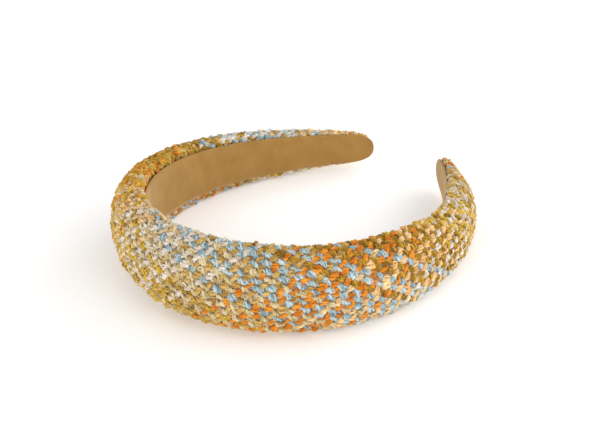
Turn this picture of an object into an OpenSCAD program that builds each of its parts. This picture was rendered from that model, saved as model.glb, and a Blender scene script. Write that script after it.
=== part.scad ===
// Padded headband: a flexible band bent to the shape of a head, padded on its outer face and covered
// with tweed that turns round both edges, with a ribbon lining on the inner face.
// It lies on its side on a surface, leaning a little, as a band does that is wider at its crown.
// +Z is up, the crown faces -Y and the open side between the tips faces +Y.

/* [Band curve] */
// Inside radius over the crown of the head
crown_radius = 58.5; // [50:0.5:70]
// Inside length of the crown arc, from the middle to each side
crown_length = 77; // [65:1:90]
// Inside radius at the temples
temple_radius = 82; // [65:1:110]
// Inside length of each temple arc
temple_length = 59; // [45:1:68]
// Inside radius of the arms behind the ears
arm_radius = 172; // [130:1:400]
// Inside length of each arm, to its tip
arm_length = 56; // [42:1:68]

/* [Padded cover] */
// Width of the band at the middle of the crown
crown_width = 36; // [26:1:50]
// Width of the band just before its tips
tip_width = 14.5; // [12:0.5:22]
// Height of the padding at the crown, from the inner face
crown_height = 14; // [8:0.5:22]
// Height of the padding at the tips
tip_height = 4.5; // [3.5:0.5:8]
// Height of the widest line above the inner face, where the cloth turns inwards
edge_height = 1.5; // [1:0.1:3]
// Length of the rounded end of each tip
tip_round = 13; // [7:0.5:18]

/* [Lining] */
// Thickness of the lining ribbon
lining_thickness = 1; // [0.6:0.1:2]
// Cloth rim left bare on each side of the lining at the crown
crown_rim = 7.5; // [4:0.5:9]
// Cloth rim left bare round the lining at the tips
tip_rim = 1.8; // [1.2:0.1:3]
// Clearance between the lining and the cover that carries it
seat_gap = 0.1; // [0.05:0.05:0.3]

/* [Hidden] */

// How the band tapers along each side, as shares of the crown's size over the tip's
ALONG = 0;
WIDTH = 1;
HEIGHT = 2;
TAPER = [
    // along, width, height
    [0.00, 1.00, 1.00],
    [0.33, 0.91, 0.99],
    [0.67, 0.48, 0.94],
    [1.00, 0.00, 0.00]
];

// Fullness of the rounded outlines: 2 is an ellipse, more is squarer
dome_power = 2.5;
tip_power = 2.7;
tip_height_power = 5;
// Share of the bare rim that is rolled over the edge, outside the flat of the inner face
roll_share = 0.8;
// Chamfer on the lining's free edges, as a share of its thickness
lining_chamfer = 0.4;
// Height of a section's centre of weight, as a share of its height
weight_height = 0.47;

// Stops along each side, round each tip, over the dome and round each rolled edge
side_steps = 34;
tip_steps = 8;
dome_steps = 22;
roll_steps = 4;
// The last ring stands just short of the very end, and a small flat closes it
last_tip_angle = 86;

degrees = 180 / PI;
side_length = crown_length + temple_length + arm_length;
// Heading of the band's inner face where each arc ends
crown_turn = crown_length / crown_radius * degrees;
temple_turn = crown_turn + temple_length / temple_radius * degrees;
// Ends of the crown and temple arcs
crown_end = arc_point([0, 0], crown_radius, 0, crown_turn);
temple_end = arc_point(crown_end, temple_radius, crown_turn, temple_turn);

// Point reached from a start along an arc, turning from one heading to another
function arc_point(start, radius, from, to) =
    start + radius * [sin(to) - sin(from), cos(from) - cos(to)];

// Heading of the inner face at a length from the middle of the crown
function heading(s) =
    s < crown_length ? s / crown_radius * degrees :
    s < crown_length + temple_length ? crown_turn + (s - crown_length) / temple_radius * degrees :
    temple_turn + (s - crown_length - temple_length) / arm_radius * degrees;

// Place of the inner face at that length
function spot(s) =
    s < crown_length ? arc_point([0, 0], crown_radius, 0, heading(s)) :
    s < crown_length + temple_length ? arc_point(crown_end, temple_radius, crown_turn, heading(s)) :
    arc_point(temple_end, arm_radius, temple_turn, heading(s));

// Smooth curve through a column of the taper table, with no overshoot between its rows
function rise(column, i) =
    (TAPER[i + 1][column] - TAPER[i][column]) / (TAPER[i + 1][ALONG] - TAPER[i][ALONG]);
function slope(column, i) =
    i == 0 ? 0 :
    i == len(TAPER) - 1 ? rise(column, i - 1) :
    let (a = rise(column, i - 1), b = rise(column, i))
    a * b <= 0 ? 0 : 2 * a * b / (a + b);
function row_of(u, i = 0) = i == len(TAPER) - 2 || u < TAPER[i + 1][ALONG] ? i : row_of(u, i + 1);
function taper(column, u) =
    let (
        i = row_of(u),
        span = TAPER[i + 1][ALONG] - TAPER[i][ALONG],
        t = (u - TAPER[i][ALONG]) / span
    )
    TAPER[i][column] * (1 + 2 * t) * pow(1 - t, 2)
    + TAPER[i + 1][column] * (3 - 2 * t) * pow(t, 2)
    + slope(column, i) * span * t * pow(1 - t, 2)
    - slope(column, i + 1) * span * (1 - t) * pow(t, 2);

// Sizes of the band at a length from the middle of the crown
function width_at(s) = tip_width + (crown_width - tip_width) * taper(WIDTH, s / side_length);
function height_at(s) = tip_height + (crown_height - tip_height) * taper(HEIGHT, s / side_length);
function rim_at(s) = crown_rim + (tip_rim - crown_rim) * s / side_length;

// Share of the size that is left where a tip rounds off, for a piece that ends at a given length
function tip_share(s, end, power) =
    pow(1 - pow(max(0, (s - end + tip_round) / tip_round), power), 1 / power);

// Stops along the whole band, from one tip to the other, closer together round the tips
function side_stops(end) = [
    for (i = [0 : side_steps - 1]) (end - tip_round) * i / side_steps,
    for (i = [0 : tip_steps])
        end - tip_round + tip_round * pow(sin(last_tip_angle * i / tip_steps), 2 / tip_power)
];
function mirrored(stops) = [for (i = [len(stops) - 1 : -1 : 1]) -stops[i]];
function band_stops(end) = concat(mirrored(side_stops(end)), side_stops(end));

// Superellipse point on the outer dome, from one edge at 0 degrees to the other at 180
function dome_point(half, low, top, angle) = [
    half * sign(cos(angle)) * pow(abs(cos(angle)), 2 / dome_power),
    low + (top - low) * pow(sin(angle), 2 / dome_power)
];

// Cross-section of the cover: a padded dome outside, rolled edges and a flat inside
function cover_section(s) =
    let (
        plan = tip_share(s, side_length, tip_power),
        lift = tip_share(s, side_length, tip_height_power),
        half = width_at(s) / 2 * plan,
        roll = rim_at(s) * roll_share * plan,
        low = edge_height * lift,
        top = height_at(s) * lift,
        step = 90 / roll_steps
    )
    concat(
        [for (i = [0 : dome_steps]) dome_point(half, low, top, 180 * i / dome_steps)],
        [for (i = [1 : roll_steps]) [roll - half - roll * cos(step * i), low * (1 - sin(step * i))]],
        [for (i = [0 : roll_steps - 1]) [half - roll + roll * sin(step * i), low * (1 - cos(step * i))]]
    );

// Cross-section of the lining: a flat ribbon inside the cover's rim, chamfered on its free side
lining_end = side_length - tip_rim / 2;
function lining_section(s) =
    let (
        half = (width_at(s) / 2 - rim_at(s)) * tip_share(s, lining_end, tip_power),
        chamfer = min(lining_chamfer * lining_thickness, half / 2),
        back = -seat_gap,
        face = -seat_gap - lining_thickness
    )
    [[half, back], [-half, back], [-half, face + chamfer], [chamfer - half, face],
     [half - chamfer, face], [half, face + chamfer]];

// A section set upright on the band's curve, with its height pointing outwards
function ring(s, section) =
    let (
        side = s < 0 ? -1 : 1,
        turn = heading(abs(s)),
        place = spot(abs(s))
    )
    [for (p = section) [side * (place.x + p[1] * sin(turn)), place.y - p[1] * cos(turn), p[0]]];

cover_rings = [for (s = band_stops(side_length)) ring(s, cover_section(abs(s)))];
lining_rings = [for (s = band_stops(lining_end)) ring(s, lining_section(abs(s)))];

// The band lies where it balances: it leans until its lowest point is under its centre of weight
weight_steps = 40;
weight_stops = [for (i = [0 : weight_steps]) side_length * i / weight_steps];
weights = [for (s = weight_stops) width_at(s) * height_at(s)];
function added(values, i = 0) = i == len(values) ? 0 : values[i] + added(values, i + 1);
function weight_y(s) = spot(s).y - height_at(s) * weight_height * cos(heading(s));
balance_y = added([for (i = [0 : weight_steps]) weights[i] * weight_y(weight_stops[i])]) / added(weights);

cover_points = [for (r = cover_rings) each r];
function depths(lean) = [for (p = cover_points) p.z * cos(lean) - p.y * sin(lean)];
function touch(z) = cover_points[search(min(z), z)[0]];
function overhang(lean) =
    let (p = touch(depths(lean)))
    (p.y - balance_y) * cos(lean) + p.z * sin(lean);
function settled(low, high, tries) =
    tries == 0 ? (low + high) / 2 :
    let (lean = (low + high) / 2)
    overhang(lean) > 0 ? settled(low, lean, tries - 1) : settled(lean, high, tries - 1);
// The lean is looked for between two angles, and each try halves the span
least_lean = -20;
most_lean = 30;
lean_tries = 24;
rest_lean = settled(least_lean, most_lean, lean_tries);
leaned_y = [for (p = cover_points) p.y * cos(rest_lean) + p.z * sin(rest_lean)];
rest_place = [0, -(max(leaned_y) + min(leaned_y)) / 2, -min(depths(rest_lean))];

// Lays a piece of the band down on the surface
module laid_down() {
    translate(rest_place)
        rotate([-rest_lean, 0, 0])
            children();
}

// Closed skin through a row of rings, with a cap on each end
module loft(rings) {
    n = len(rings[0]);
    last = len(rings) - 1;
    sides = [
        for (i = [0 : last - 1], j = [0 : n - 1])
            let (a = i * n + j, b = i * n + (j + 1) % n)
            each [[a, b + n, b], [a, a + n, b + n]]
    ];
    caps = [[for (j = [0 : n - 1]) j], [for (j = [n - 1 : -1 : 0]) last * n + j]];
    polyhedron(points = [for (r = rings) each r], faces = concat(sides, caps), convexity = 6);
}

// Tweed over soft padding, turned round both edges of the band and its tips
module padded_cover() {
    color("#C9A36B")
        laid_down()
            loft(cover_rings);
}

// Suede ribbon glued over the turned edges on the inner face
module lining() {
    color("#B08A55")
        laid_down()
            loft(lining_rings);
}

padded_cover();
lining();
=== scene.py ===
import math

import bpy
import numpy as np
from mathutils import Matrix, Vector


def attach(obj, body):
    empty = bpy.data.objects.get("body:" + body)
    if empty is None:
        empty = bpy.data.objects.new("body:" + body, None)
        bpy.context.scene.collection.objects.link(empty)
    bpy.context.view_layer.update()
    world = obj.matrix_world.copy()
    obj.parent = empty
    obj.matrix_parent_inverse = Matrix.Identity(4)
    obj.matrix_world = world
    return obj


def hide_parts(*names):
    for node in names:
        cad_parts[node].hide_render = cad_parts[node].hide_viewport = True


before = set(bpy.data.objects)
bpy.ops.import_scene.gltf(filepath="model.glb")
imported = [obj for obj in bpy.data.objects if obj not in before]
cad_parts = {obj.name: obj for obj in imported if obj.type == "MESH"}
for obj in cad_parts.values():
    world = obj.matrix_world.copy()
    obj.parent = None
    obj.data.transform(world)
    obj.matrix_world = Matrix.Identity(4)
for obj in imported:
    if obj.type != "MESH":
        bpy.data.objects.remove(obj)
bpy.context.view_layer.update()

# Table, light and camera.
# A plain white sheet under soft light from all round, as in a catalogue picture: the band lies on its
# side and is seen from a little above, past the left of its crown. Nothing here belongs to the part.

MM = 0.001


def linear(hex_colour):
    """The linear colour, with alpha, of an sRGB hex value such as #C9A36B."""
    parts = [int(hex_colour[i:i + 2], 16) / 255 for i in (1, 3, 5)]
    return tuple(c / 12.92 if c <= 0.04045 else ((c + 0.055) / 1.055) ** 2.4 for c in parts) + (1.0,)


def add_node(tree, kind, links=(), **settings):
    """Adds a shader node. A setting is an input's name or number, or else one of the node's own options;
    each link is (output of another node, input of this one)."""
    node = tree.nodes.new("ShaderNode" + kind)
    for name, value in settings.items():
        if hasattr(node, name):
            setattr(node, name, value)
        else:
            node.inputs[name.replace("_", " ")].default_value = value
    for output, name in links:
        tree.links.new(output, node.inputs[name])
    return node


def new_material(name, **finish):
    """A node material and its tree, with a surface shader of that finish joined to the output."""
    material = bpy.data.materials.new(name)
    material.use_nodes = True
    tree = material.node_tree
    tree.nodes.clear()
    shader = add_node(tree, "BsdfPrincipled", **finish)
    add_node(tree, "OutputMaterial", [(shader.outputs[0], "Surface")])
    return material, tree, shader


# Clouds in the pulp of the paper, in mm, and how much light comes up through it
PAPER_CLOUDS = 33.0
PAPER_GLOW = 0.15


def floor_paper():
    """Matt white paper, faintly mottled and lit a little from below, as on a light table."""
    material, tree, shader = new_material(
        "white_background_paper", Roughness=0.9, Specular_IOR_Level=0.1,
        Emission_Color=linear("#FFFFFF"), Emission_Strength=PAPER_GLOW)
    place = add_node(tree, "TexCoord")
    clouds = add_node(tree, "TexNoise", [(place.outputs["Object"], "Vector")],
                      Scale=1 / (PAPER_CLOUDS * MM), Detail=3.0)
    ramp = add_node(tree, "ValToRGB", [(clouds.outputs["Fac"], "Fac")])
    ramp.color_ramp.elements[0].color = linear("#F9F8F7")
    ramp.color_ramp.elements[1].color = linear("#FDFDFC")
    tree.links.new(ramp.outputs["Color"], shader.inputs["Base Color"])
    return material


# Half the side of the sheet, in metres, and how far its face lies under the band, in mm
PAPER_HALF = 4.0
PAPER_GAP = 0.1
floor_mesh = bpy.data.meshes.new("floor")
floor_mesh.from_pydata([(x * PAPER_HALF, y * PAPER_HALF, 0) for x, y in ((-1, -1), (1, -1), (1, 1), (-1, 1))],
                       [], [(0, 1, 2, 3)])
floor = bpy.data.objects.new("floor", floor_mesh)
bpy.context.scene.collection.objects.link(floor)
floor.location.z = -PAPER_GAP * MM
floor_mesh.materials.append(floor_paper())

ROOM_LIGHT = 0.72
world = bpy.data.worlds.new("soft_studio")
world.use_nodes = True
room = world.node_tree.nodes["Background"]
room.inputs["Color"].default_value = linear("#FFFFFF")
room.inputs["Strength"].default_value = ROOM_LIGHT
bpy.context.scene.world = world

SOFTBOXES = [
    # name, place, aimed at, side length, power, in metres and watts
    ("front_softbox", (0.25, -1.1, 0.28), (0, -0.05, 0.01), 0.8, 6.3),
    ("side_softbox", (1.05, -0.1, 0.45), (0, -0.02, 0.02), 0.8, 3.7),
    ("back_right_softbox", (0.9, 0.75, 0.45), (0, 0, 0.02), 0.8, 3.2),
    ("back_softbox", (0.2, 1.0, 0.45), (0, -0.02, 0.02), 0.8, 4.3),
]
for name, place, aim, side, power in SOFTBOXES:
    lamp = bpy.data.lights.new(name, "AREA")
    lamp.size = side
    lamp.energy = power
    softbox = bpy.data.objects.new(name, lamp)
    bpy.context.scene.collection.objects.link(softbox)
    softbox.location = place
    softbox.rotation_mode = "QUATERNION"
    softbox.rotation_quaternion = (Vector(aim) - Vector(place)).to_track_quat("-Z", "Y")

# The camera's place and lens follow from the outline of the band. Its turn round the band, its height above
# the table and its roll are in degrees; the lens and the middle of the picture are in pixels of the picture.
AIM = Vector((0.0, 0.0, 18.6)) * MM
DISTANCE = 570 * MM
AZIMUTH, ELEVATION, ROLL = (math.radians(v) for v in (39.04, 27.48, 1.56))
PICTURE_WIDTH = 600
FOCAL_PIXELS = 1355.2
CENTRE_OFFSET = (-1.1, -16.7)

back = Vector((math.sin(AZIMUTH) * math.cos(ELEVATION), -math.cos(AZIMUTH) * math.cos(ELEVATION),
               math.sin(ELEVATION)))
level = Vector((0, 0, 1)).cross(back).normalized()
upright = back.cross(level)
right = level * math.cos(ROLL) - upright * math.sin(ROLL)
up = level * math.sin(ROLL) + upright * math.cos(ROLL)
camera_data = bpy.data.cameras.new("camera")
camera = bpy.data.objects.new("camera", camera_data)
bpy.context.scene.collection.objects.link(camera)
camera.matrix_world = Matrix((
    (right.x, up.x, back.x, AIM.x + back.x * DISTANCE),
    (right.y, up.y, back.y, AIM.y + back.y * DISTANCE),
    (right.z, up.z, back.z, AIM.z + back.z * DISTANCE),
    (0, 0, 0, 1),
))
camera_data.lens = FOCAL_PIXELS / PICTURE_WIDTH * camera_data.sensor_width
camera_data.shift_x = -CENTRE_OFFSET[0] / PICTURE_WIDTH
camera_data.shift_y = CENTRE_OFFSET[1] / PICTURE_WIDTH
camera_data.clip_start, camera_data.clip_end = 0.05, 20.0
bpy.context.scene.camera = camera
bpy.context.scene.view_settings.view_transform = "Standard"

# Padding.
# Soft foam round a springy plastic band: it gives the headband its curve, its full crown and its
# taper. The tweed is pulled over it and glued down, so it only shows between the yarns, as painted shade.

# Sizes of the band at the middle of its crown and at its tips, and the three arcs of its inner face on each
# side: crown, temple and arm. All are in mm, and the same as in the part's source.
CROWN = {"width": 36.0, "height": 14.0, "rim": 7.5}
TIP = {"width": 14.5, "height": 4.5, "rim": 1.8}
ARC_RADII = np.array([58.5, 82.0, 172.0])
ARC_LENGTHS = np.array([77.0, 59.0, 56.0])
# Height of the widest line, and length of the rounded end of each tip
EDGE_HEIGHT = 1.5
TIP_ROUND = 13.0
# Fullness of the dome and of the tips, from above and from the side: 2 is an ellipse, more is squarer
DOME_POWER, PLAN_POWER, LIFT_POWER = 2.5, 2.7, 5.0
# Share of the bare rim that is rolled over the edge, and the least roll that is left deep under the skin
ROLL_SHARE = 0.8
LEAST_ROLL = 0.05
# Share of the crown's extra size that is left, at shares of each side's length
TAPER_ALONG = np.array([0.0, 0.33, 0.67, 1.0])
TAPER = {"width": np.array([1.0, 0.91, 0.48, 0.0]), "height": np.array([1.0, 0.99, 0.94, 0.0])}
# How the band lies on the table: its lean, and the place of the middle of its crown, in mm
LEAN = math.radians(3.658)
SEAT = np.array([0.0, -66.933, 19.214])

# Close steps along the inner face, in mm, with its heading and its place in plan at each
WALK_STEP = 0.05
SIDE_LENGTH = ARC_LENGTHS.sum()
walk = np.linspace(0, SIDE_LENGTH, round(SIDE_LENGTH / WALK_STEP) + 1)
walk_turn = np.interp(walk, np.cumsum([0, *ARC_LENGTHS]), np.cumsum([0, *(ARC_LENGTHS / ARC_RADII)]))


def summed(values, along):
    """Running integral of values over a row of places."""
    return np.concatenate([[0.0], np.cumsum((values[1:] + values[:-1]) / 2 * np.diff(along))])


walk_x, walk_y = summed(np.cos(walk_turn), walk), summed(np.sin(walk_turn), walk)


def size_at(name, s):
    """Width, height or bare rim of the band, at a length from the middle of its crown."""
    u = s / SIDE_LENGTH
    if name == "rim":
        return CROWN[name] + (TIP[name] - CROWN[name]) * u
    column, gaps = TAPER[name], np.diff(TAPER_ALONG)
    rise = np.diff(column) / gaps
    slope = np.concatenate([[0.0], 2 * rise[:-1] * rise[1:] / (rise[:-1] + rise[1:]), rise[-1:]])
    i = np.clip(np.searchsorted(TAPER_ALONG, u, side="right") - 1, 0, len(rise) - 1)
    t = (u - TAPER_ALONG[i]) / gaps[i]
    share = (column[i] * (1 + 2 * t) * (1 - t) ** 2 + column[i + 1] * (3 - 2 * t) * t ** 2
             + slope[i] * gaps[i] * t * (1 - t) ** 2 - slope[i + 1] * gaps[i] * (1 - t) * t ** 2)
    return TIP[name] + (CROWN[name] - TIP[name]) * share


def tip_share(s, end, power):
    """Share of the size left where a tip rounds off."""
    return (1 - np.clip((s - end + TIP_ROUND) / TIP_ROUND, 0, 1) ** power) ** (1 / power)


def section(s, k, depth):
    """Place in the cross-section, at a depth under the skin. k runs from 0 at the crest line over the
    dome to 1, round the rolled edge to 2 and over the flat inner rim to 3, at the lining's edge."""
    start = SIDE_LENGTH - TIP_ROUND
    s = np.where(s > start, start + (s - start) * (TIP_ROUND - depth) / TIP_ROUND, s)
    plan = tip_share(s, SIDE_LENGTH - depth, PLAN_POWER)
    lift = tip_share(s, SIDE_LENGTH - depth, LIFT_POWER)
    half, rim = size_at("width", s) / 2, size_at("rim", s)
    roll = ROLL_SHARE * rim
    dome, edge = np.clip(k, 0, 1) * math.pi / 2, np.clip(k - 1, 0, 1) * math.pi / 2
    dome_z = (half - depth) * np.sin(dome) ** (2 / DOME_POWER)
    dome_h = EDGE_HEIGHT + (size_at("height", s) - depth - EDGE_HEIGHT) * np.cos(dome) ** (2 / DOME_POWER)
    edge_z = half - roll + np.maximum(roll - depth, LEAST_ROLL) * np.cos(edge)
    edge_h = EDGE_HEIGHT - (EDGE_HEIGHT - depth) * np.sin(edge)
    z = np.where(k <= 1, dome_z, edge_z) - np.clip(k - 2, 0, 1) * (rim - roll)
    h = np.where(k <= 1, dome_h, edge_h)
    return s, z * plan, depth + (h - depth) * lift


def set_on_curve(s, side, z, h):
    """Point in the part's frame, in mm, of a place in the section: z across the band, h outwards from
    its inner face. side is -1 on the -X arm and 1 on the other."""
    turn = np.interp(s, walk, walk_turn)
    x = side * (np.interp(s, walk, walk_x) + h * np.sin(turn))
    y = np.interp(s, walk, walk_y) - h * np.cos(turn)
    return np.stack([x, y * math.cos(LEAN) + z * math.sin(LEAN),
                     z * math.cos(LEAN) - y * math.sin(LEAN)], -1) + SEAT


# Low on the left of the crown the foam is thinner: place and reach along the band, how much height and
# half width are missing, all in mm, and between which k of the section it sets in
THIN_FOAM = {"at": -46.0, "reach": 30.0, "height": 4.2, "width": 1.5, "from": -0.1, "to": 0.8}


def on_band(s, k, depth):
    """Point of the band at a depth under its skin, with the thinner foam taken off: s is minus on the
    -X arm, and k is plus on the lower side."""
    t, z, h = section(np.abs(s), np.abs(k), depth)
    share = np.clip((k - THIN_FOAM["from"]) / (THIN_FOAM["to"] - THIN_FOAM["from"]), 0, 1)
    share = share * share * (3 - 2 * share) * np.clip(2 - k, 0, 1)
    share = share * np.exp(-((s - THIN_FOAM["at"]) / THIN_FOAM["reach"]) ** 2)
    h = h - THIN_FOAM["height"] * share * h / size_at("height", t)
    z = z - THIN_FOAM["width"] * share * np.clip(np.abs(k), 0, 1)
    return set_on_curve(t, np.where(s < 0, -1, 1), -np.sign(k) * z, h)


def mesh_object(name, points, faces, material):
    """A smooth-shaded mesh piece that moves with the whole part; points are in mm."""
    mesh = bpy.data.meshes.new(name)
    mesh.from_pydata(points * MM, [], faces)
    mesh.shade_smooth()
    mesh.materials.append(material)
    piece = bpy.data.objects.new(name, mesh)
    bpy.context.scene.collection.objects.link(piece)
    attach(piece, "root")
    return piece


def tube_faces(rings, sides, first=0):
    """Quads round a row of rings of points, and a face on each end."""
    a = first + np.arange((rings - 1) * sides).reshape(rings - 1, sides)
    b = np.roll(a, -1, axis=1)
    quads = np.stack([a, b, b + sides, a + sides], -1).reshape(-1, 4).tolist()
    end = first + (rings - 1) * sides
    return quads + [list(range(first + sides - 1, first - 1, -1)), list(range(end, end + sides))]


def ring_places(end, side_rings, tip_rings, last_angle):
    """Places of the rings of a piece that runs from tip to tip. They close up round the tips, and the last
    stands just short of the very end."""
    bend = end - TIP_ROUND
    places = np.concatenate([np.linspace(0, bend, side_rings)[:-1],
                             bend + TIP_ROUND * np.sin(np.linspace(0, last_angle, tip_rings))])
    return np.concatenate([-places[:0:-1], places])


# Depth of the ground under the skin, in mm, and stops over half the dome, round each rolled edge and along
# each side and tip. Those over the dome close up by a power towards the crest line.
PADDING_DEPTH = 1.32
DOME_STOPS, ROLL_STOPS = 15, 7
DOME_CLOSING = 1.25
SIDE_RINGS, TIP_RINGS, LAST_ANGLE = 60, 12, 1.53
# Patches of warmer and cooler ground, in mm. Wool fibres are some 0.03 mm thick, too fine to show, so the
# ground is roughened by tufts of them.
GROUND_PATCHES = 6.2
GROUND_TUFTS = 0.4


def padding_painted_shade_material():
    """Ground of the tweed, where the fuzzy undersides of the yarns show between the floats. Its warm mauve
    grey, darker than any yarn, is painted shade for the shade between the floats."""
    material, tree, shader = new_material("tweed_ground_painted_shade", Roughness=1.0, Specular_IOR_Level=0.1)
    place = add_node(tree, "TexCoord")
    patches = add_node(tree, "TexNoise", [(place.outputs["Object"], "Vector")],
                       Scale=1 / (GROUND_PATCHES * MM), Detail=4.0)
    # Painted shade: both colours are mauve greys darker than the yarns, standing in for the shade between the
    # floats
    ramp = add_node(tree, "ValToRGB", [(patches.outputs["Fac"], "Fac")])
    ramp.color_ramp.elements[0].color = linear("#917E69")
    ramp.color_ramp.elements[1].color = linear("#AFA19A")
    tufts = add_node(tree, "TexNoise", [(place.outputs["Object"], "Vector")],
                     Scale=1 / (GROUND_TUFTS * MM), Detail=2.0)
    bump = add_node(tree, "Bump", [(tufts.outputs["Fac"], "Height")], Strength=0.6, Distance=0.3 * MM)
    tree.links.new(ramp.outputs["Color"], shader.inputs["Base Color"])
    tree.links.new(bump.outputs["Normal"], shader.inputs["Normal"])
    return material


section_k = np.concatenate([np.linspace(0, 1, DOME_STOPS) ** DOME_CLOSING,
                            np.linspace(1, 2, ROLL_STOPS)[1:], [3.0]])
section_k = np.concatenate([section_k, -section_k[:0:-1]])
padding_depth = np.full(len(section_k), PADDING_DEPTH)
padding_rings = [on_band(np.full(len(section_k), s), section_k, padding_depth)
                 for s in ring_places(SIDE_LENGTH, SIDE_RINGS, TIP_RINGS, LAST_ANGLE)]
padding = mesh_object("padding", np.concatenate(padding_rings),
                      tube_faces(len(padding_rings), len(section_k)), padding_painted_shade_material())
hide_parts("padded_cover")

# Tweed.
# A chunky plain weave of soft plied wool and cotton yarns, cut on the bias so that both sets of threads
# cross the band aslant. Each thread passes over one and under the next, turns round the edges and ends
# under the lining. Each set changes colour in blocks of nine threads, which makes the checks.

# The threads of a block, A in its own colour and B in the next one, and for each set the order of its
# colours and the thread that its first block starts at
BLOCK = "AAABAABBA"
SLANT_UP = {"order": ("cream", "tan", "orange", "peach"), "first": -6}
SLANT_DOWN = {"order": ("khaki", "blue", "olive", "mustard"), "first": 2}
# Threads to each side of the middle of the crown, more than the band has room for
MOST_THREADS = 75
# Threads counted from the middle of the crown: start, per mm along, per mm of girth, and how the girth's
# count bows and eases along the arms. Bias-cut cloth closes up unevenly as it is pulled round the band,
# so each set gains or loses a few extra threads by each of these places along the crest, in mm.
EXTRA_AT = (-192, -150, -100, -50, 0, 50, 100, 150, 192)
COUNTS = (
    {"start": 0.25, "along": 0.2630, "girth": 0.2630, "bow": 0.00036, "ease": 0.085,
     "extra": (-1.8, -1.4, -1.1, -0.65, 0, 0.43, 0.62, 1.0, 1.9)},
    {"start": 1.12, "along": 0.1905, "girth": -0.3360, "bow": -0.00008, "ease": -0.120,
     "extra": (-5.6, -3.3, -2.9, -1.35, 0, 0, 0.6, 3.0, 6.0)},
)
EASE_REACH = 110.0

# Length of the crest line, which grows over the end of each tip, and of the girth to each k, measured at
# steps in mm along the sides and in equal shares round the tips and over the section
GIRTH_STEP = 1.0
GIRTH_TIP_STOPS, GIRTH_K_STOPS = 60, 241
_, _, crest = section(walk, 0 * walk, 0 * walk)
walk_crest = np.concatenate([[0.0], np.cumsum(np.hypot(np.diff(walk), np.diff(crest)))])
tip_angles = np.linspace(0, math.pi / 2, GIRTH_TIP_STOPS)
girth_s = np.concatenate([np.arange(0, SIDE_LENGTH - TIP_ROUND, GIRTH_STEP),
                          SIDE_LENGTH - TIP_ROUND + TIP_ROUND * np.sin(tip_angles)])
girth_k = np.linspace(0, 3, GIRTH_K_STOPS)
_, girth_z, girth_h = section(girth_s[:, None], girth_k[None, :], 0 * girth_k[None, :])
girth = np.cumsum(np.hypot(np.diff(girth_z, axis=1, prepend=0),
                           np.diff(girth_h, axis=1, prepend=girth_h[:, :1])), axis=1)
TINY = 1e-9


def k_at(s, y):
    """The section's k at a girth y from the crest line, and the whole girth to the lining there."""
    t = np.interp(np.abs(s), girth_s, np.arange(len(girth_s)))
    i = np.minimum(t.astype(int), len(girth_s) - 2)
    w = (t - i)[:, None]
    rows = girth[i] * (1 - w) + girth[i + 1] * w
    n = np.clip((rows <= np.abs(y)[:, None]).sum(1) - 1, 0, rows.shape[1] - 2)
    r = np.arange(len(n))
    part = (np.abs(y) - rows[r, n]) / np.maximum(rows[r, n + 1] - rows[r, n], TINY)
    return np.sign(y) * (girth_k[n] + np.clip(part, 0, 1) * girth_k[1]), rows[:, -1]


def thread_count(family, x, y):
    """Which thread of a set lies at a length x along the crest line and a girth y from it."""
    c = COUNTS[family]
    eased = x * x / (x * x + EASE_REACH ** 2)
    return (c["start"] + c["along"] * x + np.interp(x, EXTRA_AT, c["extra"])
            + (c["girth"] - c["ease"] * eased) * y + c["bow"] * y * y)


# Step to each side, in mm, over which the slope of the extra threads is taken
SLOPE_STEP = 5


def spacing(family, x, y):
    """Distance in mm between neighbouring threads of a set, from the slopes of their count."""
    c = COUNTS[family]
    eased = x * x / (x * x + EASE_REACH ** 2)
    ahead, behind = (np.interp(x + step, EXTRA_AT, c["extra"]) for step in (SLOPE_STEP, -SLOPE_STEP))
    stretch = (ahead - behind) / (2 * SLOPE_STEP)
    return 1 / np.hypot(c["along"] + stretch, c["girth"] - c["ease"] * eased + 2 * c["bow"] * y)


# Where a thread is looked for, in mm: girths past the lining's edges at close steps, and a stretch past the
# tips. Each try halves the stretch. A thread ends this far short of the lining's edge and of the tips'
# ends, and one with fewer places than the least is left out.
GIRTH_REACH, LINE_STEP = 34.0, 0.1
PAST_TIPS = 20.0
LINE_TRIES = 34
SHORT_OF_LINING, SHORT_OF_TIP = 0.02, 0.3
LEAST_PLACES = 12


def thread_line(family, number):
    """Places of one thread between its two ends: s along the inner face, x along the crest line and y
    round the girth."""
    y = np.arange(-GIRTH_REACH, GIRTH_REACH, LINE_STEP)
    low, high = np.full(len(y), -walk_crest[-1] - PAST_TIPS), np.full(len(y), walk_crest[-1] + PAST_TIPS)
    for _ in range(LINE_TRIES):
        middle = (low + high) / 2
        over = thread_count(family, middle, y) > number + 0.5
        low, high = np.where(over, low, middle), np.where(over, middle, high)
    x = (low + high) / 2
    s = np.sign(x) * np.interp(np.abs(x), walk_crest, walk)
    _, reach = k_at(s, y)
    kept = (np.abs(y) < reach - SHORT_OF_LINING) & (np.abs(x) < walk_crest[-1] - SHORT_OF_TIP)
    if kept.sum() < LEAST_PLACES:
        return None
    first, last = np.flatnonzero(kept)[[0, -1]]
    return s[first:last + 1], x[first:last + 1], y[first:last + 1]


# Depth of the yarn's middle line under the skin, with its limits, and how far it weaves in and out, in mm
YARN_DEPTH = 1.08
DEPTH_LIMITS = (0.05, 1.47)
WAVE = 0.42
# Usual distance between neighbouring threads, where the yarn has its own width, and how much that width
# may follow the real distance
USUAL_SPACING = 2.65
SPREAD_LIMITS = (0.8, 1.3)
# Shares by which the yarn is pressed flat inside the rim and over the last quarter of each arm, and by
# which the weave calms at the tips, where the yarn also sinks in by some mm
PRESSED_INSIDE, PRESSED_AT_TIPS = 0.22, 0.18
TIP_CALM = 0.3
TIP_SINK = 0.15
# Usual fullness of the yarn, and how much fuller it is where it passes over than where it passes under
FULLNESS, FLOAT_FULLNESS = 0.92, 0.12
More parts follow.
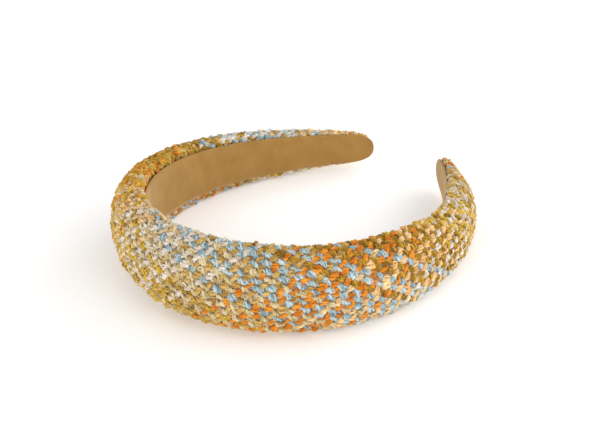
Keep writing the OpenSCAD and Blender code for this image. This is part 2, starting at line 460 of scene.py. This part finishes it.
# Three plies wind round each other once in each twist length. Sizes and distances are in mm, and an orbit
# is how far a ply keeps from the yarn's middle, sideways and outwards.
PLIES = 3
PLY_RADIUS = 0.57
PLY_FLATNESS = 0.8
PLY_ORBIT = (0.70, 0.34)
PLY_SIDES = 5
RING_SPACING = 0.75
TWIST_LENGTH = 4.6
# A thin curly ply winds round the others, as in boucle yarn
CURL_RADIUS = 0.36
CURL_ORBIT = (1.06, 0.90)
CURL_SIDES = 4
CURL_SPACING = 0.42
CURL_LENGTH = 2.5
# A yarn shorter than this, in mm, is left out, and the shortest have this many rings
LEAST_YARN = 3.0
LEAST_RINGS = 8
# How uneven the yarn is: how much, and over how many mm along it. The drifts are in mm, the twists in
# radians, and the others shares of a size. The fresh values of a run spread this much about their mean.
DRIFT_OUT = (0.08, 2.7)
DRIFT_SIDEWAYS = (0.52, 2.4)
UNEVEN_BULK = (0.46, 2.7)
UNEVEN_TWIST = (1.2, 2.0)
UNEVEN_ORBIT = (0.45, 1.7)
UNEVEN_PLY = (0.32, 1.4)
UNEVEN_CURL_TWIST = (3.0, 1.3)
UNEVEN_CURL = (0.32, 1.1)
KNOT_SPREAD = 0.55
# Lightness of the plies and of the curly ply: the mean, and how far single ones are from it
PLY_LIGHTNESS = (0, 0.28)
CURL_LIGHTNESS = (0.7, 0.6)
# The strands of fibre start at any place in this many mm, and wind this much round a ply for each turn of it
STRAND_START = 37.0
STRAND_WIND = 1.5
# Step outwards that gives the way out of the skin, in mm
OUT_STEP = 0.1


def uneven(rng, along, amount_and_step):
    """A smooth random run between about minus and plus an amount, with a fresh value every step."""
    amount, step = amount_and_step
    knots = np.arange(along[0] - step, along[-1] + 2 * step, step)
    values = rng.normal(0, KNOT_SPREAD, len(knots)).clip(-1, 1)
    t = (along - knots[0]) / step
    i = t.astype(int)
    t = t - i
    t = t * t * (3 - 2 * t)
    return amount * (values[i] * (1 - t) + values[i + 1] * t)


def wound(centre, sideways, out, orbit, reach):
    """Middle line of a ply that winds round a yarn's centre, so far to its side and so far outwards."""
    return (centre + sideways * (reach[0] * np.cos(orbit))[:, None]
            + out * (reach[1] * np.sin(orbit))[:, None])


def ply_tube(middle, sideways, out, radius, flatness, sides, at, orbit, lightness, rng):
    """Rings of one ply round its middle line, with its spun coordinates: mm along it, radians round it
    and lightness."""
    lightness = rng.normal(*lightness)
    angle = np.arange(sides) * 2 * math.pi / sides
    rim = (middle[:, None, :]
           + sideways[:, None, :] * (radius[:, None] * np.cos(angle))[..., None]
           + out[:, None, :] * ((flatness * radius)[:, None] * np.sin(angle))[..., None])
    spun = np.stack([np.broadcast_to(at[:, None] + STRAND_START * rng.random(), rim.shape[:2]),
                     np.broadcast_to(angle, rim.shape[:2]) - STRAND_WIND * orbit[:, None],
                     np.full(rim.shape[:2], lightness)], -1)
    return rim, spun


def spun_yarn(family, number, rng):
    """The plies of one thread, its curly ply, and its own wave and way outwards at each ring."""
    line = thread_line(family, number)
    if line is None:
        return None
    s, x, y = line
    k, _ = k_at(s, y)
    path = on_band(s, k, np.full(len(s), YARN_DEPTH))
    along = np.concatenate([[0.0], np.cumsum(np.linalg.norm(np.diff(path, axis=0), axis=1))])
    if along[-1] < LEAST_YARN:
        return None
    at = np.linspace(0, along[-1], max(LEAST_RINGS, int(along[-1] / RING_SPACING)))
    s, x, y = (np.interp(at, along, v) for v in (s, x, y))
    k, _ = k_at(s, y)

    # It passes over and under the threads of the other set in turn, with long floats and short crossings
    crossing = thread_count(1 - family, x, y)
    sign = 1 if (number + family) % 2 == 0 else -1
    wave = sign * np.cos(math.pi * (crossing - 0.5))
    wave = wave * (1.5 - 0.5 * wave ** 2)

    # It is pressed flat where the cloth is glued down inside the rim and where it is pulled tight at the
    # tips, and it spreads sideways where the threads stand further apart
    inside = np.clip(np.abs(k) - 1, 0, 1)
    last_quarter = np.clip(np.abs(s) / SIDE_LENGTH * 4 - 3, 0, 1)
    thin = 1 - PRESSED_INSIDE * inside - PRESSED_AT_TIPS * last_quarter
    spread = np.clip(spacing(family, x, y) / USUAL_SPACING, *SPREAD_LIMITS)
    tip = np.clip((np.abs(s) - SIDE_LENGTH) / TIP_ROUND + 1, 0, 1)
    depth = (YARN_DEPTH + TIP_SINK * tip ** 2 - WAVE * wave * thin * (1 - TIP_CALM * tip)
             - uneven(rng, at, DRIFT_OUT))
    depth = np.clip(depth, *DEPTH_LIMITS)

    # Its middle line, with the ways outwards and sideways
    centre = on_band(s, k, depth)
    out = on_band(s, k, depth - OUT_STEP) - centre
    tangent = np.gradient(centre, axis=0)
    tangent /= np.linalg.norm(tangent, axis=1, keepdims=True)
    out -= (out * tangent).sum(1, keepdims=True) * tangent
    out /= np.maximum(np.linalg.norm(out, axis=1, keepdims=True), TINY)
    sideways = np.cross(out, tangent)
    centre = centre + sideways * uneven(rng, at, DRIFT_SIDEWAYS)[:, None]
    bulk = (FULLNESS + FLOAT_FULLNESS * wave) * (1 + uneven(rng, at, UNEVEN_BULK))

    plies = []
    start = rng.random()
    for ply in range(PLIES):
        orbit = 2 * math.pi * (at / TWIST_LENGTH + ply / PLIES + start) + uneven(rng, at, UNEVEN_TWIST)
        loose = bulk * (1 + uneven(rng, at, UNEVEN_ORBIT))
        middle = wound(centre, sideways, out, orbit,
                       (PLY_ORBIT[0] * loose * spread, PLY_ORBIT[1] * loose * thin))
        radius = PLY_RADIUS * bulk * np.sqrt(spread) * (1 + uneven(rng, at, UNEVEN_PLY))
        plies.append(ply_tube(middle, sideways, out, radius, PLY_FLATNESS * thin, PLY_SIDES, at, orbit,
                              PLY_LIGHTNESS, rng))

    # The curly ply has rings of its own, closer together
    fine = np.linspace(0, at[-1], max(LEAST_RINGS, int(at[-1] / CURL_SPACING)))
    centre, sideways, fine_out = (np.stack([np.interp(fine, at, v[:, n]) for n in range(3)], -1)
                                  for v in (centre, sideways, out))
    bulk, thin = np.interp(fine, at, bulk), np.interp(fine, at, thin)
    orbit = 2 * math.pi * (fine / CURL_LENGTH + rng.random()) + uneven(rng, fine, UNEVEN_CURL_TWIST)
    middle = wound(centre, sideways, fine_out, orbit, (CURL_ORBIT[0] * bulk, CURL_ORBIT[1] * bulk * thin))
    radius = CURL_RADIUS * (1 + uneven(rng, fine, UNEVEN_CURL))
    curl = ply_tube(middle, sideways, fine_out, radius, PLY_FLATNESS, CURL_SIDES, fine, orbit,
                    CURL_LIGHTNESS, rng)
    return plies, curl, wave, out


# Wool fibres are some 0.03 mm thick, too fine to show, so they are drawn as strands of many fibres: these
# are the length and width of a strand, its depth, and the patches in which the heathered yarn changes, in mm
STRAND = (0.67, 0.26)
STRAND_DEPTH = 0.3
HEATHER = 3.0
# How much the plies of a colour differ in lightness, and how far that shifts the pattern of strands
PLY_CONTRAST = 0.2
STRAND_SHIFT = 5.0


def yarn_material(colour_name, light, middle, shade):
    """Softly spun wool and cotton: matt, heathered, with strands of fibre that wind round the yarn."""
    material, tree, shader = new_material("spun_wool_" + colour_name, Roughness=0.95, Specular_IOR_Level=0.1,
                                          Sheen_Weight=0.1, Sheen_Roughness=0.6)
    spun = add_node(tree, "Attribute", attribute_name="spun")
    stretch = add_node(tree, "Mapping", [(spun.outputs["Vector"], "Vector")])
    stretch.inputs["Scale"].default_value = (1 / STRAND[0], PLY_RADIUS / STRAND[1], STRAND_SHIFT)
    strands = add_node(tree, "TexNoise", [(stretch.outputs["Vector"], "Vector")],
                       Scale=1.0, Detail=3.0, Distortion=1.4)
    place = add_node(tree, "TexCoord")
    heather = add_node(tree, "TexNoise", [(place.outputs["Object"], "Vector")],
                       Scale=1 / (HEATHER * MM), Detail=2.0)
    mixed = add_node(tree, "Math", [(strands.outputs["Fac"], 0), (heather.outputs["Fac"], 1)],
                     operation="ADD")
    halved = add_node(tree, "Math", [(mixed.outputs[0], 0)], operation="MULTIPLY")
    halved.inputs[1].default_value = 0.5
    parts = add_node(tree, "SeparateXYZ", [(spun.outputs["Vector"], "Vector")])
    lightened = add_node(tree, "Math", [(parts.outputs["Z"], 0), (halved.outputs[0], 2)],
                         operation="MULTIPLY_ADD")
    lightened.inputs[1].default_value = PLY_CONTRAST
    ramp = add_node(tree, "ValToRGB", [(lightened.outputs[0], "Fac")])
    ramp.color_ramp.elements[0].position = 0.38
    ramp.color_ramp.elements[0].color = linear(shade)
    ramp.color_ramp.elements[1].position = 0.62
    ramp.color_ramp.elements[1].color = linear(light)
    centre = ramp.color_ramp.elements.new(0.5)
    centre.color = linear(middle)
    bump = add_node(tree, "Bump", [(strands.outputs["Fac"], "Height")], Strength=0.8,
                    Distance=STRAND_DEPTH * MM)
    tree.links.new(ramp.outputs["Color"], shader.inputs["Base Color"])
    tree.links.new(bump.outputs["Normal"], shader.inputs["Normal"])
    return material


# Loose fibres for each mm of ply, the shortest and the longest, and their radius at the root, in mm. Real
# ones are some 0.03 mm thick, too fine to show, so each is drawn as thick as a wisp of a few.
HAIRS_PER_MM = 0.22
HAIR_LENGTH = (0.6, 1.6)
HAIR_RADIUS = 0.045
# Each thins by this share to its end, and starts this share of a ply's radius above its middle
HAIR_THINNING = 0.6
HAIR_ROOT = 0.7
# They stand where the yarn's wave is above a limit. Each sets out along a random way, weighed against a
# little of the way outwards, and then bends by a random share of its length and droops by a fixed one.
WAVE_THAT_SHOWS = -0.1
HAIR_RISE, HAIR_LEAN = (0.05, 0.5), 0.7
HAIR_BEND, HAIR_DROOP = 0.6, 0.35
HAIR_STOPS, HAIR_SIDES = 3, 3
corner = np.arange(HAIR_SIDES)
following = (corner + 1) % HAIR_SIDES
hair_faces = np.concatenate([
    np.stack([corner, following, following + HAIR_SIDES, corner + HAIR_SIDES], -1) + HAIR_SIDES * i
    for i in range(HAIR_STOPS - 1)])


def loose_fibres(rim, wave, outward, rng):
    """Fine curved fibres that stand out of a ply where it shows, as points of hair, stop and corner."""
    length = np.linalg.norm(np.diff(rim.mean(1), axis=0), axis=1).sum()
    rings = rng.integers(1, len(rim) - 1, int(length * HAIRS_PER_MM + rng.random()))
    rings = rings[wave[rings] > WAVE_THAT_SHOWS]
    n = len(rings)
    out = outward[rings]
    root = rim[rings].mean(1) + out * PLY_RADIUS * HAIR_ROOT
    lean = rng.normal(0, 1, (n, 3))
    aim = out * rng.uniform(*HAIR_RISE, (n, 1)) + lean * HAIR_LEAN
    aim /= np.linalg.norm(aim, axis=1, keepdims=True)
    bend = rng.normal(0, HAIR_BEND, (n, 3)) - out * HAIR_DROOP
    length = rng.uniform(*HAIR_LENGTH, (n, 1, 1))
    t = np.linspace(0, 1, HAIR_STOPS)[None, :, None]
    spine = root[:, None] + length * (t * aim[:, None] + t * t * bend[:, None])
    across = np.cross(aim, rng.normal(0, 1, (n, 3)))
    across /= np.linalg.norm(across, axis=1, keepdims=True)
    second = np.cross(aim, across)
    turn = corner * 2 * math.pi / HAIR_SIDES
    ring = (across[:, None, None] * np.cos(turn)[None, None, :, None]
            + second[:, None, None] * np.sin(turn)[None, None, :, None])
    return spine[:, :, None] + HAIR_RADIUS * (1 - HAIR_THINNING * t[..., None]) * ring


def add_to_yarn(store, points, spun, faces):
    """Adds a ply or its loose fibres to the mesh of a yarn's colour."""
    store["faces"] += faces
    store["points"].append(points.reshape(-1, 3))
    store["spun"].append(spun.reshape(-1, 3))
    store["count"] += points.size // 3


# Height above the table under which the soft yarn gives, in mm
REST_GIVE = 0.5
YARNS = {
    # name: lightest, middle and shaded colour of the yarn
    "cream": ("#F2E7D9", "#E6D8C5", "#C8B4A1"),
    "tan": ("#DFBC77", "#C39948", "#9F7732"),
    "orange": ("#F0A436", "#E18418", "#B3640C"),
    "peach": ("#F8D8A3", "#F1C486", "#D39E60"),
    "khaki": ("#E8D7B0", "#CFBB8C", "#A78E5C"),
    "blue": ("#CFD9D9", "#A9C0C1", "#7C969E"),
    "olive": ("#D5AC3F", "#B18419", "#815D0B"),
    "mustard": ("#EDCB67", "#D8B13A", "#AB8723"),
}
SEED = 4567
rng = np.random.default_rng(SEED)
grown = {name: {"points": [], "faces": [], "spun": [], "count": 0} for name in YARNS}
for family, colours in enumerate((SLANT_UP, SLANT_DOWN)):
    for number in range(-MOST_THREADS, MOST_THREADS + 1):
        yarn = spun_yarn(family, number, rng)
        if yarn is None:
            continue
        plies, (rim, spun), wave, outward = yarn
        block, place = divmod(number - colours["first"], len(BLOCK))
        store = grown[colours["order"][(block + (BLOCK[place] == "B")) % len(colours["order"])]]
        add_to_yarn(store, rim, spun, tube_faces(len(rim), CURL_SIDES, store["count"]))
        for rim, spun in plies:
            add_to_yarn(store, rim, spun, tube_faces(len(rim), PLY_SIDES, store["count"]))
            hairs = loose_fibres(rim, wave, outward, rng)
            first = store["count"] + np.arange(len(hairs)) * HAIR_STOPS * HAIR_SIDES
            faces = (first[:, None, None] + hair_faces).reshape(-1, 4).tolist()
            add_to_yarn(store, hairs, np.tile(spun[0, :1], (hairs.size // 3, 1)), faces)
for name, (light, middle, shade) in YARNS.items():
    store = grown[name]
    points = np.concatenate(store["points"])
    # The soft yarn gives where the band lies on the surface, and none of it goes through
    low = points[:, 2] < REST_GIVE
    points[low, 2] = REST_GIVE * np.exp(points[low, 2] / REST_GIVE - 1)
    piece = mesh_object("yarn_" + name, points, store["faces"],
                        yarn_material(name, light, middle, shade))
    layer = piece.data.attributes.new("spun", "FLOAT_VECTOR", "POINT")
    layer.data.foreach_set("vector", np.concatenate(store["spun"]).ravel().astype(np.float32))

# Lining.
# Suede-like ribbon, brushed to a short matt nap, glued over the turned edges of the tweed on the inner
# face. It runs from tip to tip, follows the taper and ends in a round at each tip.

# Thickness, clearance to the padding, and how far the ribbon ends short of the tips, in mm
LINING_THICKNESS = 0.55
SEAT_GAP = 0.1
LINING_END = SIDE_LENGTH - 0.15
# Rim of tweed that shows beside the ribbon, at the crown and at the tips
SHOWN_RIM = (7.5, 0.7)
# Ripple in the glued ribbon: its height, and how far each of its two overlaid waves runs in a radian, in mm
LINING_RIPPLE = 0.12
RIPPLE_WAVES = (11.0, 27.0)
# Rounding of the ribbon's edges, and stops across its face and along each side and tip
EDGE_ROUNDING = 0.3
FACE_STOPS = 15
RIBBON_RINGS, RIBBON_TIP_RINGS, RIBBON_LAST_ANGLE = 90, 14, 1.54
# Strokes in which the nap lies, in mm. Its fibres are some 0.05 mm thick, too fine to show, so it is drawn
# as coarse as small tufts.
NAP_STROKES = 6.7
NAP_TUFTS = 0.31


def suede_material():
    """Brushed microfibre ribbon: a short nap that lies in soft lighter and darker strokes."""
    material, tree, shader = new_material(
        "brushed_suede_ribbon", Roughness=0.95, Specular_IOR_Level=0.15,
        Sheen_Weight=0.8, Sheen_Roughness=0.4, Sheen_Tint=linear("#F0D9B0"))
    place = add_node(tree, "TexCoord")
    strokes = add_node(tree, "TexNoise", [(place.outputs["Object"], "Vector")],
                       Scale=1 / (NAP_STROKES * MM), Detail=4.0)
    ramp = add_node(tree, "ValToRGB", [(strokes.outputs["Fac"], "Fac")])
    ramp.color_ramp.elements[0].position = 0.3
    ramp.color_ramp.elements[0].color = linear("#98723A")
    ramp.color_ramp.elements[1].position = 0.7
    ramp.color_ramp.elements[1].color = linear("#A57E46")
    nap = add_node(tree, "TexNoise", [(place.outputs["Object"], "Vector")],
                   Scale=1 / (NAP_TUFTS * MM), Detail=2.0)
    bump = add_node(tree, "Bump", [(nap.outputs["Fac"], "Height")], Strength=0.5, Distance=0.12 * MM)
    tree.links.new(ramp.outputs["Color"], shader.inputs["Base Color"])
    tree.links.new(bump.outputs["Normal"], shader.inputs["Normal"])
    return material


def lining_half(s):
    """Half the ribbon's width at a length from the middle of the crown."""
    rim = SHOWN_RIM[0] + (SHOWN_RIM[1] - SHOWN_RIM[0]) * s / SIDE_LENGTH
    return (size_at("width", s) / 2 - rim) * tip_share(s, LINING_END, PLAN_POWER)


face_stops = np.linspace(-1, 1, FACE_STOPS)
rounding = np.where(np.abs(face_stops) < 1, EDGE_ROUNDING, 0.0)
lining_rings = []
for s in ring_places(LINING_END, RIBBON_RINGS, RIBBON_TIP_RINGS, RIBBON_LAST_ANGLE):
    half = lining_half(np.array(abs(s)))
    ripple = LINING_RIPPLE * (math.sin(s / RIPPLE_WAVES[0]) * math.sin(s / RIPPLE_WAVES[1] + 1.0))
    face_h = -SEAT_GAP - LINING_THICKNESS + EDGE_ROUNDING - rounding + ripple * (1 - face_stops ** 2)
    z = np.concatenate([half * face_stops, [half, -half]])
    h = np.concatenate([face_h, [-SEAT_GAP, -SEAT_GAP]])
    lining_rings.append(set_on_curve(np.full(len(z), abs(s)), -1 if s < 0 else 1, z, h))
lining = mesh_object("lining_ribbon", np.concatenate(lining_rings),
                     tube_faces(len(lining_rings), FACE_STOPS + 2), suede_material())
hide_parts("lining")
